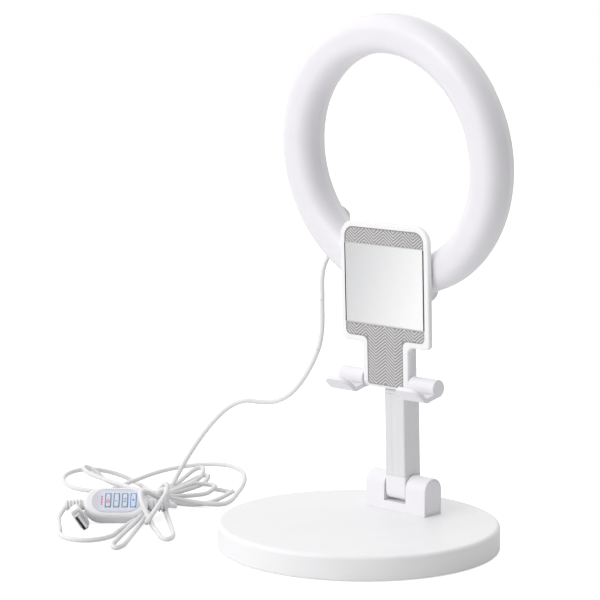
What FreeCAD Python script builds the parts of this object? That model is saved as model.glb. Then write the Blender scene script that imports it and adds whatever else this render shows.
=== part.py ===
"""Folding desktop ring light with a phone plate, mirror, weighted base and corded controller.

Millimetres. +Z is up, -Y is the side the ring shines towards, and the origin is on the floor
under the centre of the round base. Upper parts are drawn upright in the frame of the hinge
that carries them, and their Placement leans them into the rest position.
"""
import FreeCAD, Part
import math
import os
import re

import Sketcher
from FreeCAD import Placement, Rotation, Vector

SIZES = {
    # round base
    "base_radius": 100.0, "base_height": 17.6, "base_round": 3.0, "base_wall": 2.4,
    "foot_gap": 0.8, "cover_radius": 97.3, "cover_thick": 2.4, "pad_sheet_radius": 95.0,
    "weight_radius": 92.0, "weight_thick": 5.0, "boss_radius": 4.0,
    "boss_circle": 72.0,
    # self-tapping screws
    "screw_head_radius": 2.6, "screw_head_height": 1.5, "screw_radius": 1.25, "pilot_radius": 1.3,
    # hinge brackets, the same pattern at the foot and under the ring
    "hinge_y": 48.5, "hinge_rise": 17.5, "ear_radius": 9.35, "bracket_width": 56.2,
    "notch_width": 20.2, "notch_floor": 6.8, "heel_round": 5.0, "knuckle_radius": 8.85,
    "knuckle_width": 18.8,
    "cap_radius": 7.8, "cap_thick": 1.2, "bolt_radius": 2.5, "bolt_bore": 2.55,
    "bolt_head_radius": 4.3, "bolt_head_height": 3.0, "bolt_seat": 22.5, "seat_radius": 4.8,
    "washer_radius": 7.0, "washer_thick": 0.6,
    "nut_radius": 4.6, "nut_height": 3.2,
    # telescopic pole, measured up from the foot hinge
    "pole_lean": 2.5, "tube_width": 18.3, "tube_depth": 17.7, "tube_wall": 1.1,
    "tube_round": 1.1, "tube_low": 8.9, "tube_high": 69.0, "plug_high": 16.0,
    "sliding_gap": 0.1, "inner_width": 14.4, "inner_depth": 13.8, "inner_wall": 1.2,
    "inner_round": 2.0, "inner_low": 17.5, "collar_high": 71.85, "sleeve_low": 57.0,
    "shoe_flange": 1.2, "shoe_high": 27.0, "head_low": 72.0, "head_plug_low": 58.0,
    "head_width": 16.0, "head_depth": 17.6, "head_round": 2.5, "set_screw_height": 12.0,
    # phone plate and hooks, about their shared pin
    "pivot_front": 12.2, "pivot_height": 79.0, "pin_radius": 2.0, "pin_bore": 2.05,
    "pin_length": 85.0, "plate_front": 17.6, "plate_thick": 4.2, "plate_width": 81.6,
    "plate_top": 193.0, "plate_low": 106.2, "plate_corner": 12.0, "plate_foot_corner": 5.0,
    "neck_width": 42.4, "neck_fillet": 4.5, "rim": 4.2, "neck_rim": 4.6, "pad_depth": 1.6,
    "pad_thick": 1.1, "pad_gap": 0.1, "mirror_top": 176.8, "mirror_low": 119.8,
    "mirror_thick": 1.5, "mirror_gap": 0.35, "neck_pivot_radius": 5.4, "boss_bore": 4.0,
    "head_boss_radius": 3.6, "head_boss_width": 15.4, "boss_gap_width": 16.8,
    "head_web": 2.6, "scoop_radius": 6.1,
    "hook_radius": 6.4, "hook_inner": 21.6, "hook_outer": 44.5, "hook_cap": 1.3,
    # ring, centred above its hinge
    "ring_hinge": 147.0, "ring_lean": 4.4, "ring_back": 3.2, "ring_rise": 92.0,
    "ring_radius": 86.6, "tube_half": 13.2, "tube_half_deep": 14.2, "ring_round": 10.0,
    "ring_wall": 2.0, "parting": 2.0, "bracket_top": 13.0, "web_low": 10.0, "pocket_gap": 0.05,
    "slot_half": 9.35, "slot_reach": 30.0, "arm_front_limit": 6.5, "arm_back_limit": 62.0,
    "ring_seat": 9.0, "ring_screw_x": 17.0, "ring_screw_rise": 8.5,
    "board_inner": 75.6, "board_outer": 97.6, "board_front": 2.4, "board_thick": 1.4,
    "board_gap_half": 33.0, "led_width": 2.8, "led_length": 3.5, "led_height": 0.8,
    # inline controller
    "control_length": 48.0, "control_width": 27.0, "control_half": 5.4, "control_wall": 2.0,
    "control_corner": 13.3, "control_round": 2.6, "panel_length": 36.0, "panel_width": 21.6,
    "panel_thick": 0.4, "panel_corner": 10.6, "button_width": 4.1, "button_length": 13.0,
    "button_pitch": 6.2, "button_start": -6.0, "button_corner": 1.6, "button_proud": 0.9,
    "button_deep": 1.3, "button_gap": 0.15, "relief_length": 14.0, "relief_radius": 3.6,
    "relief_tip": 2.4, "sleeve_radius": 3.0, "sleeve_length": 5.0,
    "control_board_thick": 1.2, "cord_radius": 1.8,
    # charging plug
    "plug_width": 15.6, "plug_thick": 7.6, "plug_length": 14.0, "plug_round": 2.4, "plug_neck": 4.0,
    "shell_width": 12.0, "shell_thick": 4.5, "shell_length": 12.0, "shell_wall": 0.35,
    "tongue_width": 11.0, "tongue_thick": 1.8, "tongue_length": 11.4,
}

CONTROL_BUTTONS = ("button_power", "button_dimmer", "button_colour", "button_brighter")
LED_COUNT = 60
BUNDLE_AT = Vector(-186, -6, 0)
BUNDLE_TURN = 41.5
# centre along and across the bundle's own axes, then half-length and half-width of each coil
BUNDLE_COILS = ((-46, 31, 32, 24), (18, 32, 27, 38), (-14, -108, 12, 29), (-47, -118, 14, 12))
TIE_AT = (-3, -10)
TIE_RADIUS = 9.0
CONTROL_AT = (-35, -58, 11.9)
CONTROL_TURN = 44.0
CONTROL_TILT = 38.0
PLUG_AT = (-58.5, -84, 7.9)
PLUG_TURN = 12.0
PLUG_ROLL = 56.0

# the lamp cord hangs behind the left of the ring, sags and runs down to the coil on the floor
CORD_RING = ((-73.9, 67, 226.5), (-74.9, 69.4, 223.6), (-76.8, 69.4, 218), (-79.4, 66.5, 210),
             (-82.6, 61.5, 200), (-86, 55, 184))
CORD_POST = ((-85, 53, 161), (-85, 53, 139))
# the falling cord is straight on plan; its height drops, levels out, and drops again to the floor
FALL_START = (-87, 51, 124)
FALL_END = (-190, -1, 13)
FALL_LEVEL = 82
FALL_EASED = 0.38
FALL_LEAVES = 0.5
FALL_STEPS = 10
OUTLET_ANGLE = 58.0
CORD_GAP = 0.25
CORD_STUB = 0.8
CORD_STEP = 0.0005

TURNS = {
    "X": Rotation(Vector(0, 1, 0), 90),
    "Y": Rotation(Vector(1, 0, 0), -90),
    "Z": Rotation(),
}

doc = FreeCAD.newDocument("RingLight")
sheet = doc.addObject("Spreadsheet::Sheet", "Sizes")
nodes = {}


def fill_sheet():
    for row, (name, value) in enumerate(SIZES.items(), start=1):
        sheet.set(f"A{row}", name)
        sheet.set(f"B{row}", str(value))
        sheet.setAlias(f"B{row}", name)
    doc.recompute()


def size(name):
    return float(sheet.get(name))


def linked(text):
    """An expression in which every name of the sheet points at its cell."""
    return re.sub(r"[a-z_]+", lambda word: "Sizes." + word[0] if word[0] in SIZES else word[0], text)


def tie(item, **sizes):
    for name, text in sizes.items():
        item.setExpression(name, linked(text))


def tie_base(item, corner):
    for letter, text in zip("xyz", corner):
        item.setExpression("Placement.Base." + letter, linked(text))


def shape_block(item, x, y, z):
    """Sizes a box from the low and high ends of its span along each axis."""
    tie(item, Length=f"({x[1]}) - ({x[0]})", Width=f"({y[1]}) - ({y[0]})", Height=f"({z[1]}) - ({z[0]})")
    tie_base(item, (x[0], y[0], z[0]))


def shape_rod(item, axis, radius, span, centre):
    """Sizes a cylinder along an axis from its low and high ends; centre gives the other two places."""
    tie(item, Radius=radius, Height=f"({span[1]}) - ({span[0]})")
    item.Placement = Placement(Vector(), TURNS[axis])
    corner = list(centre)
    corner.insert("XYZ".index(axis), span[0])
    tie_base(item, corner)


class Piece:
    """One sub-part made as a PartDesign body in the frame of the hinge that carries it."""

    def __init__(self, label, frame=Placement()):
        self.body = doc.addObject("PartDesign::Body", label)
        self.body.Label = label
        self.body.Placement = frame
        nodes[label] = self.body
        self.volume = 0.0

    def feature(self, kind, name):
        return self.body.newObject("PartDesign::" + kind, self.body.Label + "_" + name)

    def settle(self, item, removes=False):
        """Recomputes, and makes sure the feature really added or removed material."""
        doc.recompute()
        volume = item.Shape.Volume
        changed = volume < self.volume if removes else volume > self.volume
        if not changed:
            raise ValueError(f"{item.Name} left the volume at {volume}")
        self.volume = volume

    def block(self, x, y, z, cut=False, name="block"):
        item = self.feature("SubtractiveBox" if cut else "AdditiveBox", name)
        shape_block(item, x, y, z)
        self.settle(item, cut)
        return item

    def rod(self, axis, radius, span, centre=("0", "0"), cut=False, name="rod"):
        item = self.feature("SubtractiveCylinder" if cut else "AdditiveCylinder", name)
        shape_rod(item, axis, radius, span, centre)
        self.settle(item, cut)
        return item

    def outline(self, plane, corners, offset="0"):
        """A closed sketch of straight sides whose corners are tied to the sheet."""
        sketch = self.body.newObject("Sketcher::SketchObject", self.body.Label + "_outline")
        support = [item for item in self.body.Origin.OriginFeatures if item.Role == plane][0]
        sketch.AttachmentSupport = [(support, "")]
        sketch.MapMode = "FlatFace"
        sketch.setExpression("AttachmentOffset.Base.z", linked(offset))
        places = [tuple(evaluate(text) for text in corner) for corner in corners]
        for start, end in zip(places, places[1:] + places[:1]):
            sketch.addGeometry(Part.LineSegment(Vector(*start, 0), Vector(*end, 0)), False)
        for side in range(len(places)):
            sketch.addConstraint(Sketcher.Constraint("Coincident", side, 2, (side + 1) % len(places), 1))
        for side, (corner, place) in enumerate(zip(corners, places)):
            for kind, text, value in zip(("DistanceX", "DistanceY"), corner, place):
                index = sketch.addConstraint(Sketcher.Constraint(kind, -1, 1, side, 1, value))
                sketch.setExpression(f"Constraints[{index}]", linked(text))
        return sketch

    def pad(self, plane, corners, length, offset="0"):
        """A slab that starts at an offset from one of the body's own planes."""
        item = self.feature("Pad", "pad")
        item.Profile = self.outline(plane, corners, offset)
        tie(item, Length=length)
        self.settle(item)
        return item

    def pocket(self, plane, corners, length, offset="0"):
        item = self.feature("Pocket", "pocket")
        item.Profile = self.outline(plane, corners, offset)
        tie(item, Length=length)
        self.settle(item, removes=True)
        return item

    def turned(self, corners, axis="V_Axis", plane="XZ_Plane"):
        """A full turn of a sketch about one of the sketch's own axes."""
        item = self.feature("Revolution", "turned")
        sketch = self.outline(plane, corners)
        item.Profile = sketch
        item.ReferenceAxis = (sketch, [axis])
        item.Angle = 360
        self.settle(item)
        return item

    def hollow(self, wall, wanted):
        """Leaves a wall inside the surface, open at the faces that wanted(face) picks."""
        base = self.body.Tip
        faces = [f"Face{index}" for index, face in enumerate(base.Shape.Faces, start=1) if wanted(face)]
        item = self.feature("Thickness", "hollow")
        item.Base = (base, faces)
        item.Reversed = True
        tie(item, Value=wall)
        self.settle(item, removes=True)
        return item

    def soften(self, radius, wanted, kind="Fillet"):
        """Rounds the edges of the last feature that wanted(edge) picks."""
        base = self.body.Tip
        edges = [f"Edge{index}" for index, edge in enumerate(base.Shape.Edges, start=1) if wanted(edge)]
        item = self.feature(kind, "soft")
        item.Base = (base, edges)
        if kind == "Fillet":
            tie(item, Radius=radius)
        else:
            tie(item, Size=radius)
        doc.recompute()
        self.volume = item.Shape.Volume
        return item


def evaluate(text):
    """The present value of an expression written with the sheet's names."""
    return float(sheet.evalExpression(linked(text)))


def along(axis, low=None, at=None):
    """Picks straight edges parallel to an axis, optionally only those where at(edge centre) holds."""
    direction = {"X": Vector(1, 0, 0), "Y": Vector(0, 1, 0), "Z": Vector(0, 0, 1)}[axis]

    def wanted(edge):
        if edge.Curve.TypeId != "Part::GeomLine" or edge.Length < (low or 0):
            return False
        start, end = (vertex.Point for vertex in edge.Vertexes)
        parallel = abs((end - start).normalize().dot(direction)) > 0.999
        return parallel and (at is None or at((start + end) / 2))

    return wanted


def on_level(axis, level, tolerance=0.01):
    """Picks every edge lying wholly in the plane where the axis reads level."""
    index = "XYZ".index(axis)

    def wanted(edge):
        box = edge.BoundBox
        low = (box.XMin, box.YMin, box.ZMin)[index]
        high = (box.XMax, box.YMax, box.ZMax)[index]
        return abs(low - level) < tolerance and abs(high - level) < tolerance

    return wanted


def part_rod(name, axis, radius, span, centre=("0", "0")):
    item = doc.addObject("Part::Cylinder", name)
    shape_rod(item, axis, radius, span, centre)
    return item


def part_block(name, x, y, z):
    item = doc.addObject("Part::Box", name)
    shape_block(item, x, y, z)
    return item


def fused(name, items):
    item = doc.addObject("Part::MultiFuse", name)
    item.Shapes = items
    return item


def cut(name, base, tool):
    item = doc.addObject("Part::Cut", name)
    item.Base = base
    item.Tool = tool
    return item


def keep(label, item, frame=Placement()):
    """Makes an object one of the part's nodes, under its own label."""
    item.Label = label
    item.Placement = frame
    nodes[label] = item
    return item


def group(label, items, frame=Placement()):
    """A node of several separate solids."""
    item = doc.addObject("Part::Compound", label)
    item.Links = items
    return keep(label, item, frame)


# frames ------------------------------------------------------------------------------------


def pole_frame():
    hinge = Vector(0, size("hinge_y"), size("base_height") + size("hinge_rise"))
    return Placement(hinge, Rotation(Vector(1, 0, 0), size("pole_lean")))


def ring_hinge_frame():
    step = Placement(Vector(0, 0, size("ring_hinge")), Rotation(Vector(1, 0, 0), size("ring_lean")))
    return pole_frame().multiply(step)


def ring_frame():
    step = Placement(Vector(0, size("ring_back"), size("ring_rise")), Rotation())
    return ring_hinge_frame().multiply(step)


def pivot_frame():
    step = Placement(Vector(0, -size("pivot_front"), size("pivot_height")), Rotation())
    return pole_frame().multiply(step)


def bundle_frame(place, turn=0.0):
    """A frame at a place given along and across the floor coil."""
    coil = Placement(BUNDLE_AT, Rotation(Vector(0, 0, 1), BUNDLE_TURN))
    return coil.multiply(Placement(Vector(*place), Rotation(Vector(0, 0, 1), turn)))


def control_frame():
    tilt = Placement(Vector(), Rotation(Vector(1, 0, 0), CONTROL_TILT))
    return bundle_frame(CONTROL_AT, CONTROL_TURN - BUNDLE_TURN).multiply(tilt)


def plug_frame():
    roll = Placement(Vector(), Rotation(Vector(0, 1, 0), PLUG_ROLL))
    return bundle_frame(PLUG_AT, PLUG_TURN).multiply(roll)


def square_ring(text):
    """Four places at plus and minus the same distance, on the diagonals of a circle."""
    reach = f"{text} * {math.sqrt(0.5)}"
    return [(f"{sx} * {reach}", f"{sy} * {reach}") for sx in ("1", "-1") for sy in ("1", "-1")]


# base --------------------------------------------------------------------------------------


def base_shell():
    piece = Piece("base_shell")
    under = "base_height - base_wall"
    piece.turned([
        ("0", "base_height"), ("base_radius", "base_height"), ("base_radius", "foot_gap"),
        ("base_radius - base_wall", "foot_gap"), ("base_radius - base_wall", under), ("0", under),
    ])
    piece.soften("base_round", lambda edge: on_level("Z", size("base_height"))(edge) and edge.Length > 100)
    cover_top = "foot_gap + cover_thick"
    for place in square_ring("boss_circle"):
        piece.rod("Z", "boss_radius", (cover_top, under + " + 0.5"), place, name="boss")
    for place in square_ring("boss_circle"):
        piece.rod("Z", "pilot_radius", (cover_top, under + " - 1"), place, cut=True, name="pilot")
    for place in bracket_screw_places():
        piece.rod("Z", "pilot_radius", (under, "base_height"), place, cut=True, name="pass")


def bracket_screw_places():
    return [(f"{side} * 19.2", f"hinge_y {step} 5") for side in ("1", "-1") for step in ("+", "-")]


def base_cover():
    piece = Piece("base_bottom_cover")
    piece.rod("Z", "cover_radius", ("foot_gap", "foot_gap + cover_thick"), name="disc")
    for place in square_ring("boss_circle"):
        piece.rod("Z", "screw_head_radius + 0.4", ("foot_gap", "foot_gap + screw_head_height + 0.1"),
                  place, cut=True, name="seat")
    for place in square_ring("boss_circle"):
        piece.rod("Z", "pilot_radius", ("foot_gap + 1", "foot_gap + cover_thick"), place, cut=True,
                  name="pass")


def base_weight():
    piece = Piece("base_weight")
    low = "foot_gap + cover_thick + 0.3"
    high = low + " + weight_thick"
    piece.rod("Z", "weight_radius", (low, high), name="disc")
    for place in square_ring("boss_circle"):
        piece.rod("Z", "boss_radius + 0.4", (low, high), place, cut=True, name="clear")


def base_pad():
    """A thin non-slip sheet over the whole underside, which also hides the cover's screws."""
    piece = Piece("base_pad")
    piece.rod("Z", "pad_sheet_radius", ("0", "foot_gap"))


def screw(head, tip, place, axis="Z"):
    """A pan-head screw from the outer face of its head to its tip, along one axis."""
    seat = f"({head}) + screw_head_height"
    parts = [
        part_rod("head", axis, "screw_head_radius", (head, seat), place),
        part_rod("shank", axis, "screw_radius", (seat, tip), place),
    ]
    return fused("screw", parts)


def base_screws():
    screws = [screw("foot_gap", "foot_gap + 9", place) for place in square_ring("boss_circle")]
    group("base_cover_screws", screws)
    under = "base_height - base_wall"
    screws = [screw(under + " - screw_head_height", "base_height + 5", place)
              for place in bracket_screw_places()]
    group("hinge_bracket_screws", screws)


def end_span(side, inner, outer):
    """The span between two distances from the middle, on the left (-1) or the right (1)."""
    return (inner, outer) if side > 0 else (f"-({outer})", f"-({inner})")


def hinge_bracket():
    piece = Piece("hinge_bracket", Placement(Vector(0, size("hinge_y"), 0), Rotation()))
    axis_height = "base_height + hinge_rise"
    half = "bracket_width / 2"
    piece.block((f"-{half}", half), ("-ear_radius", "ear_radius"), ("base_height", axis_height))
    piece.rod("X", "ear_radius", (f"-{half}", half), ("0", axis_height), name="arch")
    piece.block(("-notch_width / 2", "notch_width / 2"), ("-20", "20"),
                ("base_height + notch_floor", "base_height + 40"), cut=True, name="notch")
    bore_ends(piece, axis_height, cap_down=True)
    for x in ("19.2", "-19.2"):
        for y in ("5", "-5"):
            piece.rod("Z", "pilot_radius", ("base_height", "base_height + 6"), (x, y), cut=True,
                      name="pilot")
    piece.soften("0.8", lambda edge: on_level("X", size("bracket_width") / 2)(edge)
                 and edge.BoundBox.YLength > 17)
    piece.soften("0.8", lambda edge: on_level("X", -size("bracket_width") / 2)(edge)
                 and edge.BoundBox.YLength > 17)


def bore_ends(piece, axis_height, cap_down):
    """The hinge bolt's bore, its two seats, and the shallow recesses that take the end caps."""
    half = "bracket_width / 2"
    for side in (1, -1):
        recess = end_span(side, f"{half} - cap_thick", f"{half} + 1")
        piece.rod("X", "cap_radius", recess, ("0", axis_height), cut=True, name="recess")
        if cap_down:
            piece.block(recess, ("-cap_radius", "cap_radius"), ("base_height + 1.5", axis_height),
                        cut=True, name="recess_low")
        piece.rod("X", "seat_radius", end_span(side, "bolt_seat", half), ("0", axis_height), cut=True,
                  name="seat")
    piece.rod("X", "bolt_bore", (f"-{half}", half), ("0", axis_height), cut=True, name="bore")


def end_cap(label, side, frame, axis_height, cap_down):
    piece = Piece(label, frame)
    span = end_span(side, "bracket_width / 2 - cap_thick + 0.02", "bracket_width / 2")
    piece.rod("X", "cap_radius - 0.12", span, ("0", axis_height))
    if cap_down:
        piece.block(span, ("-cap_radius + 0.12", "cap_radius - 0.12"),
                    ("base_height + 1.62", axis_height), name="foot")


def bolt_set(prefix, frame, axis_height="0"):
    """The hinge bolt, its nut and the two friction washers between knuckle and ears."""
    seat = "bolt_seat"
    bolt = fused(prefix + "_bolt", [
        part_rod("shank", "X", "bolt_radius", (f"-{seat} - nut_height", seat), ("0", axis_height)),
        part_rod("head", "X", "bolt_head_radius", (seat, f"{seat} + bolt_head_height"), ("0", axis_height)),
    ])
    keep(prefix + "_bolt", bolt, frame)
    prism = doc.addObject("Part::Prism", "hexagon")
    tie(prism, Circumradius="nut_radius", Height="nut_height")
    prism.Polygon = 6
    prism.Placement = Placement(Vector(), TURNS["X"])
    tie_base(prism, (f"-{seat} - nut_height", "0", axis_height))
    thread = part_rod("thread", "X", "bolt_bore", (f"-{seat} - nut_height", f"-{seat}"), ("0", axis_height))
    keep(prefix + "_nut", cut("nut", prism, thread), frame)
    washers = []
    for side in (1, -1):
        span = end_span(side, "knuckle_width / 2 + 0.05", "knuckle_width / 2 + 0.05 + washer_thick")
        rim = part_rod("rim", "X", "washer_radius", span, ("0", axis_height))
        hole = part_rod("hole", "X", "bolt_bore", span, ("0", axis_height))
        washers.append(cut("washer", rim, hole))
    group(prefix + "_washers", washers, frame)


# pole --------------------------------------------------------------------------------------


def half_spans(width, depth, less="0"):
    """Symmetrical spans across a rectangular section, made smaller by less on every side."""
    x = f"({width}) / 2 - ({less})"
    y = f"({depth}) / 2 - ({less})"
    return (f"-({x})", x), (f"-({y})", y)


def pole_foot():
    piece = Piece("pole_foot", pole_frame())
    half = "knuckle_width / 2"
    piece.block((f"-{half}", half), ("-knuckle_radius", "0"), ("-knuckle_radius", "0"), name="heel")
    piece.soften("heel_round", along("X", 10, lambda centre: centre.y < -8 and centre.z < -8))
    piece.rod("X", "knuckle_radius", (f"-{half}", half), name="knuckle")
    piece.block((f"-{half}", half), ("-knuckle_radius", "knuckle_radius"), ("0", "tube_low"))
    x, y = half_spans("tube_width", "tube_depth", "tube_wall + sliding_gap")
    piece.block(x, y, ("tube_low", "plug_high"), name="plug")
    piece.rod("X", "bolt_bore", (f"-{half}", half), cut=True, name="bore")
    piece.rod("Y", "pilot_radius", ("2", "12"), ("0", "set_screw_height"), cut=True, name="pilot")
    piece.soften("1.2", along("Z", 5, lambda centre: abs(centre.x) > 9 and centre.z < size("tube_low")))


def outer_tube():
    piece = Piece("outer_tube", pole_frame())
    x, y = half_spans("tube_width", "tube_depth")
    piece.block(x, y, ("tube_low", "tube_high"))
    piece.soften("tube_round", along("Z", 20))
    x, y = half_spans("tube_width", "tube_depth", "tube_wall")
    piece.block(x, y, ("tube_low", "tube_high"), cut=True, name="hollow")
    piece.rod("Y", "pilot_radius", ("0", "12"), ("0", "set_screw_height"), cut=True, name="hole")


def set_screw():
    head = "tube_depth / 2"
    parts = [
        part_rod("head", "Y", "screw_head_radius", (head, f"{head} + 1.2"), ("0", "set_screw_height")),
        part_rod("shank", "Y", "screw_radius", ("3", head), ("0", "set_screw_height")),
    ]
    keep("tube_set_screw", fused("set_screw", parts), pole_frame())


def slide_collar():
    """Nylon collar whose sleeve lines the mouth of the outer tube."""
    piece = Piece("slide_collar", pole_frame())
    x, y = half_spans("tube_width", "tube_depth")
    piece.block(x, y, ("tube_high", "collar_high"), name="flange")
    piece.soften("tube_round", along("Z", 1))
    x, y = half_spans("tube_width", "tube_depth", "tube_wall + sliding_gap")
    piece.block(x, y, ("sleeve_low", "tube_high"), name="sleeve")
    x, y = half_spans("inner_width", "inner_depth", "-sliding_gap")
    piece.block(x, y, ("sleeve_low", "collar_high"), cut=True, name="way")


def inner_tube():
    piece = Piece("inner_tube", pole_frame())
    x, y = half_spans("inner_width", "inner_depth")
    piece.block(x, y, ("inner_low", "head_low"))
    piece.soften("inner_round", along("Z", 20))
    x, y = half_spans("inner_width", "inner_depth", "inner_wall")
    piece.block(x, y, ("inner_low", "head_low"), cut=True, name="hollow")


def guide_shoe():
    piece = Piece("guide_shoe", pole_frame())
    x, y = half_spans("tube_width", "tube_depth", "tube_wall + 2 * sliding_gap")
    piece.block(x, y, ("inner_low - shoe_flange", "inner_low"), name="flange")
    x, y = half_spans("inner_width", "inner_depth", "inner_wall + sliding_gap")
    piece.block(x, y, ("inner_low", "shoe_high"), name="plug")


def neck_head():
    """The sliding head: it carries the phone plate's pin in front and the ring's knuckle on top."""
    piece = Piece("neck_head", pole_frame())
    x, y = half_spans("head_width", "head_depth")
    piece.block(x, y, ("head_low", "ring_hinge"), name="stem")
    piece.soften("head_round", along("Z", 20))
    half = "knuckle_width / 2"
    piece.rod("X", "knuckle_radius", (f"-{half}", half), ("0", "ring_hinge"), name="knuckle")
    piece.block((f"-{half}", half), ("-head_depth / 2", "head_depth / 2"),
                ("ring_hinge - 19", "ring_hinge"), name="shoulder")
    piece.soften("3", along("Y", 5, lambda centre: abs(centre.z - size("ring_hinge") + 19) < 0.1
                            and abs(centre.x) > 9))
    piece.rod("X", "scoop_radius", ("-20", "20"), ("-pivot_front", "pivot_height"), cut=True, name="scoop")
    x, y = half_spans("inner_width", "inner_depth", "inner_wall + sliding_gap")
    piece.block(x, y, ("head_plug_low", "head_low"), name="plug")
    boss = ("-head_boss_width / 2", "head_boss_width / 2")
    piece.rod("X", "head_boss_radius", boss, ("-pivot_front", "pivot_height"), name="boss")
    piece.block(boss, ("-pivot_front", "-4"), ("pivot_height - head_web", "pivot_height + head_web"),
                name="web")
    piece.rod("X", "pin_bore", boss, ("-pivot_front", "pivot_height"), cut=True, name="pin_way")
    piece.rod("X", "bolt_bore", (f"-{half}", half), ("0", "ring_hinge"), cut=True, name="bore")


# phone plate and hooks ---------------------------------------------------------------------


def plate_corners(inset_body, inset_neck, bottom):
    """The T-shaped outline, in front view, drawn in by the two insets."""
    wide = f"plate_width / 2 - ({inset_body})"
    neck = f"neck_width / 2 - ({inset_neck})"
    top = f"plate_top - ({inset_body})"
    low = f"plate_low + ({inset_body})"
    right = [(neck, bottom), (neck, low), (wide, low), (wide, top)]
    left = [(f"-({x})", z) for x, z in reversed(right)]
    return right + left


def round_plate(piece, inset):
    """Rounds the outer corners, the shoulders and the two inner corners of the T."""
    wide = size("plate_width") / 2 - inset
    top = size("plate_top") - inset
    low = size("plate_low") + inset
    piece.soften(f"plate_corner - {inset}", along("Y", 0.5, lambda c: abs(c.z - top) < 0.1))
    piece.soften("plate_foot_corner - 1", along("Y", 0.5, lambda c: abs(abs(c.x) - wide) < 0.1
                                                and abs(c.z - low) < 0.1))
    piece.soften("neck_fillet", along("Y", 0.5, lambda c: abs(abs(c.x) - wide) > 5
                                      and abs(c.z - low) < 0.1))


def plate_frame():
    piece = Piece("plate_frame", pole_frame())
    piece.pad("XZ_Plane", plate_corners("0", "0", "pivot_height"), "plate_thick",
              offset="plate_front - plate_thick")
    round_plate(piece, 0.0)
    knuckle = ("-neck_width / 2", "neck_width / 2")
    piece.rod("X", "neck_pivot_radius", knuckle, ("-pivot_front", "pivot_height"), name="knuckle")
    piece.block(knuckle, ("-pivot_front - neck_pivot_radius", "-pivot_front"),
                ("pivot_height", "pivot_height + 8"), name="gusset")
    gap = ("-boss_gap_width / 2", "boss_gap_width / 2")
    piece.rod("X", "boss_bore", gap, ("-pivot_front", "pivot_height"), cut=True, name="boss_way")
    piece.block(gap, ("-pivot_front - 0.6", "0"), ("pivot_height - 12", "pivot_height + 12"), cut=True,
                name="web_way")
    piece.rod("X", "pin_radius", knuckle, ("-pivot_front", "pivot_height"), cut=True, name="pin_way")
    piece.pocket("XZ_Plane", plate_corners("rim", "neck_rim", "pivot_height - 2.6"), "pad_depth",
                 offset="plate_front")
    round_plate(piece, size("rim"))
    front_edge = size("plate_front")
    piece.soften("1.2", lambda edge: on_level("Y", -front_edge)(edge) and on_rim(edge))
    piece.soften("0.8", lambda edge: on_level("Y", size("plate_thick") - front_edge)(edge)
                 and on_rim(edge))


def on_rim(edge):
    """True for edges of the plate's outer outline above its neck."""
    box = edge.BoundBox
    high = box.ZMax > size("plate_low") - 12
    outer = box.XMax > size("plate_width") / 2 - 14 or box.XMin < 14 - size("plate_width") / 2
    return high and outer and box.ZMax > size("plate_low") - 0.5 and not inside_pad(edge)


def inside_pad(edge):
    """True for edges that bound the sunk bed of the grip pad."""
    centre = edge.CenterOfMass
    reach = size("plate_width") / 2 - size("rim") + 0.2
    return abs(centre.x) < reach and size("plate_low") + size("rim") - 0.3 < centre.z < (
        size("plate_top") - size("rim") + 0.2)


def grip_pads():
    """Two sheets of grip pad, above and below the mirror, lying on the bed."""
    spans = {
        "grip_pad_upper": ("mirror_top + mirror_gap", "plate_top"),
        "grip_pad_lower": ("pivot_height - 3", "mirror_low - mirror_gap"),
    }
    for label, (low, high) in spans.items():
        piece = Piece(label, pole_frame())
        corners = plate_corners("rim + pad_gap", "neck_rim + pad_gap", "pivot_height - 2.5")
        piece.pad("XZ_Plane", corners, "pad_thick", offset="plate_front - pad_depth")
        inset = size("rim") + size("pad_gap")
        round_plate(piece, inset)
        waste = ("0", low) if label == "grip_pad_upper" else (high, "300")
        piece.block(("-60", "60"), ("-40", "0"), waste, cut=True, name="waste")


def mirror():
    piece = Piece("mirror", pole_frame())
    half = "plate_width / 2 - rim - mirror_gap"
    back = "-plate_front + pad_depth"
    piece.block((f"-({half})", half), (f"{back} - mirror_thick", back), ("mirror_low", "mirror_top"))
    front = -size("plate_front") + size("pad_depth") - size("mirror_thick")
    piece.soften("0.4", on_level("Y", front), kind="Chamfer")


def plate_pin():
    pin = part_rod("pin", "X", "pin_radius", ("-pin_length / 2", "pin_length / 2"))
    group("plate_pin", [pin], pivot_frame())


def hook(label, side):
    """A phone hook: a barrel on the pin, a shelf forward from it and an upturned lip."""
    piece = Piece(label, pivot_frame())
    span = end_span(side, "hook_inner", "hook_outer")
    piece.rod("X", "hook_radius", span, name="barrel")
    piece.soften("0.7", on_level("X", side * size("hook_outer")))
    profile = [("-1.5", "-6.2"), ("-13.5", "-8.4"), ("-24.2", "1"), ("-22.2", "3.3"), ("-12.8", "-5"),
               ("-2.1", "-3")]
    piece.pad("YZ_Plane", profile, "hook_outer - hook_inner", offset=span[0])
    piece.soften("8", lambda edge: lip_corner(edge))
    piece.soften("3.4", along("X", 15, lambda c: abs(c.y + 13.5) < 0.2 and abs(c.z + 8.4) < 0.2))
    piece.soften("1.2", along("X", 15, lambda c: abs(c.y + 12.8) < 0.2 and abs(c.z + 5) < 0.2))
    bore = end_span(side, "hook_inner", "hook_outer - hook_cap")
    piece.rod("X", "pin_bore", bore, cut=True, name="bore")


def lip_corner(edge):
    """True for the two short edges at the free corners of the hook's lip."""
    if edge.Curve.TypeId != "Part::GeomLine":
        return False
    centre = edge.CenterOfMass
    return abs(centre.y + 23.2) < 0.3 and abs(centre.z - 2.15) < 0.3 and edge.Length < 5


# ring --------------------------------------------------------------------------------------


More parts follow.
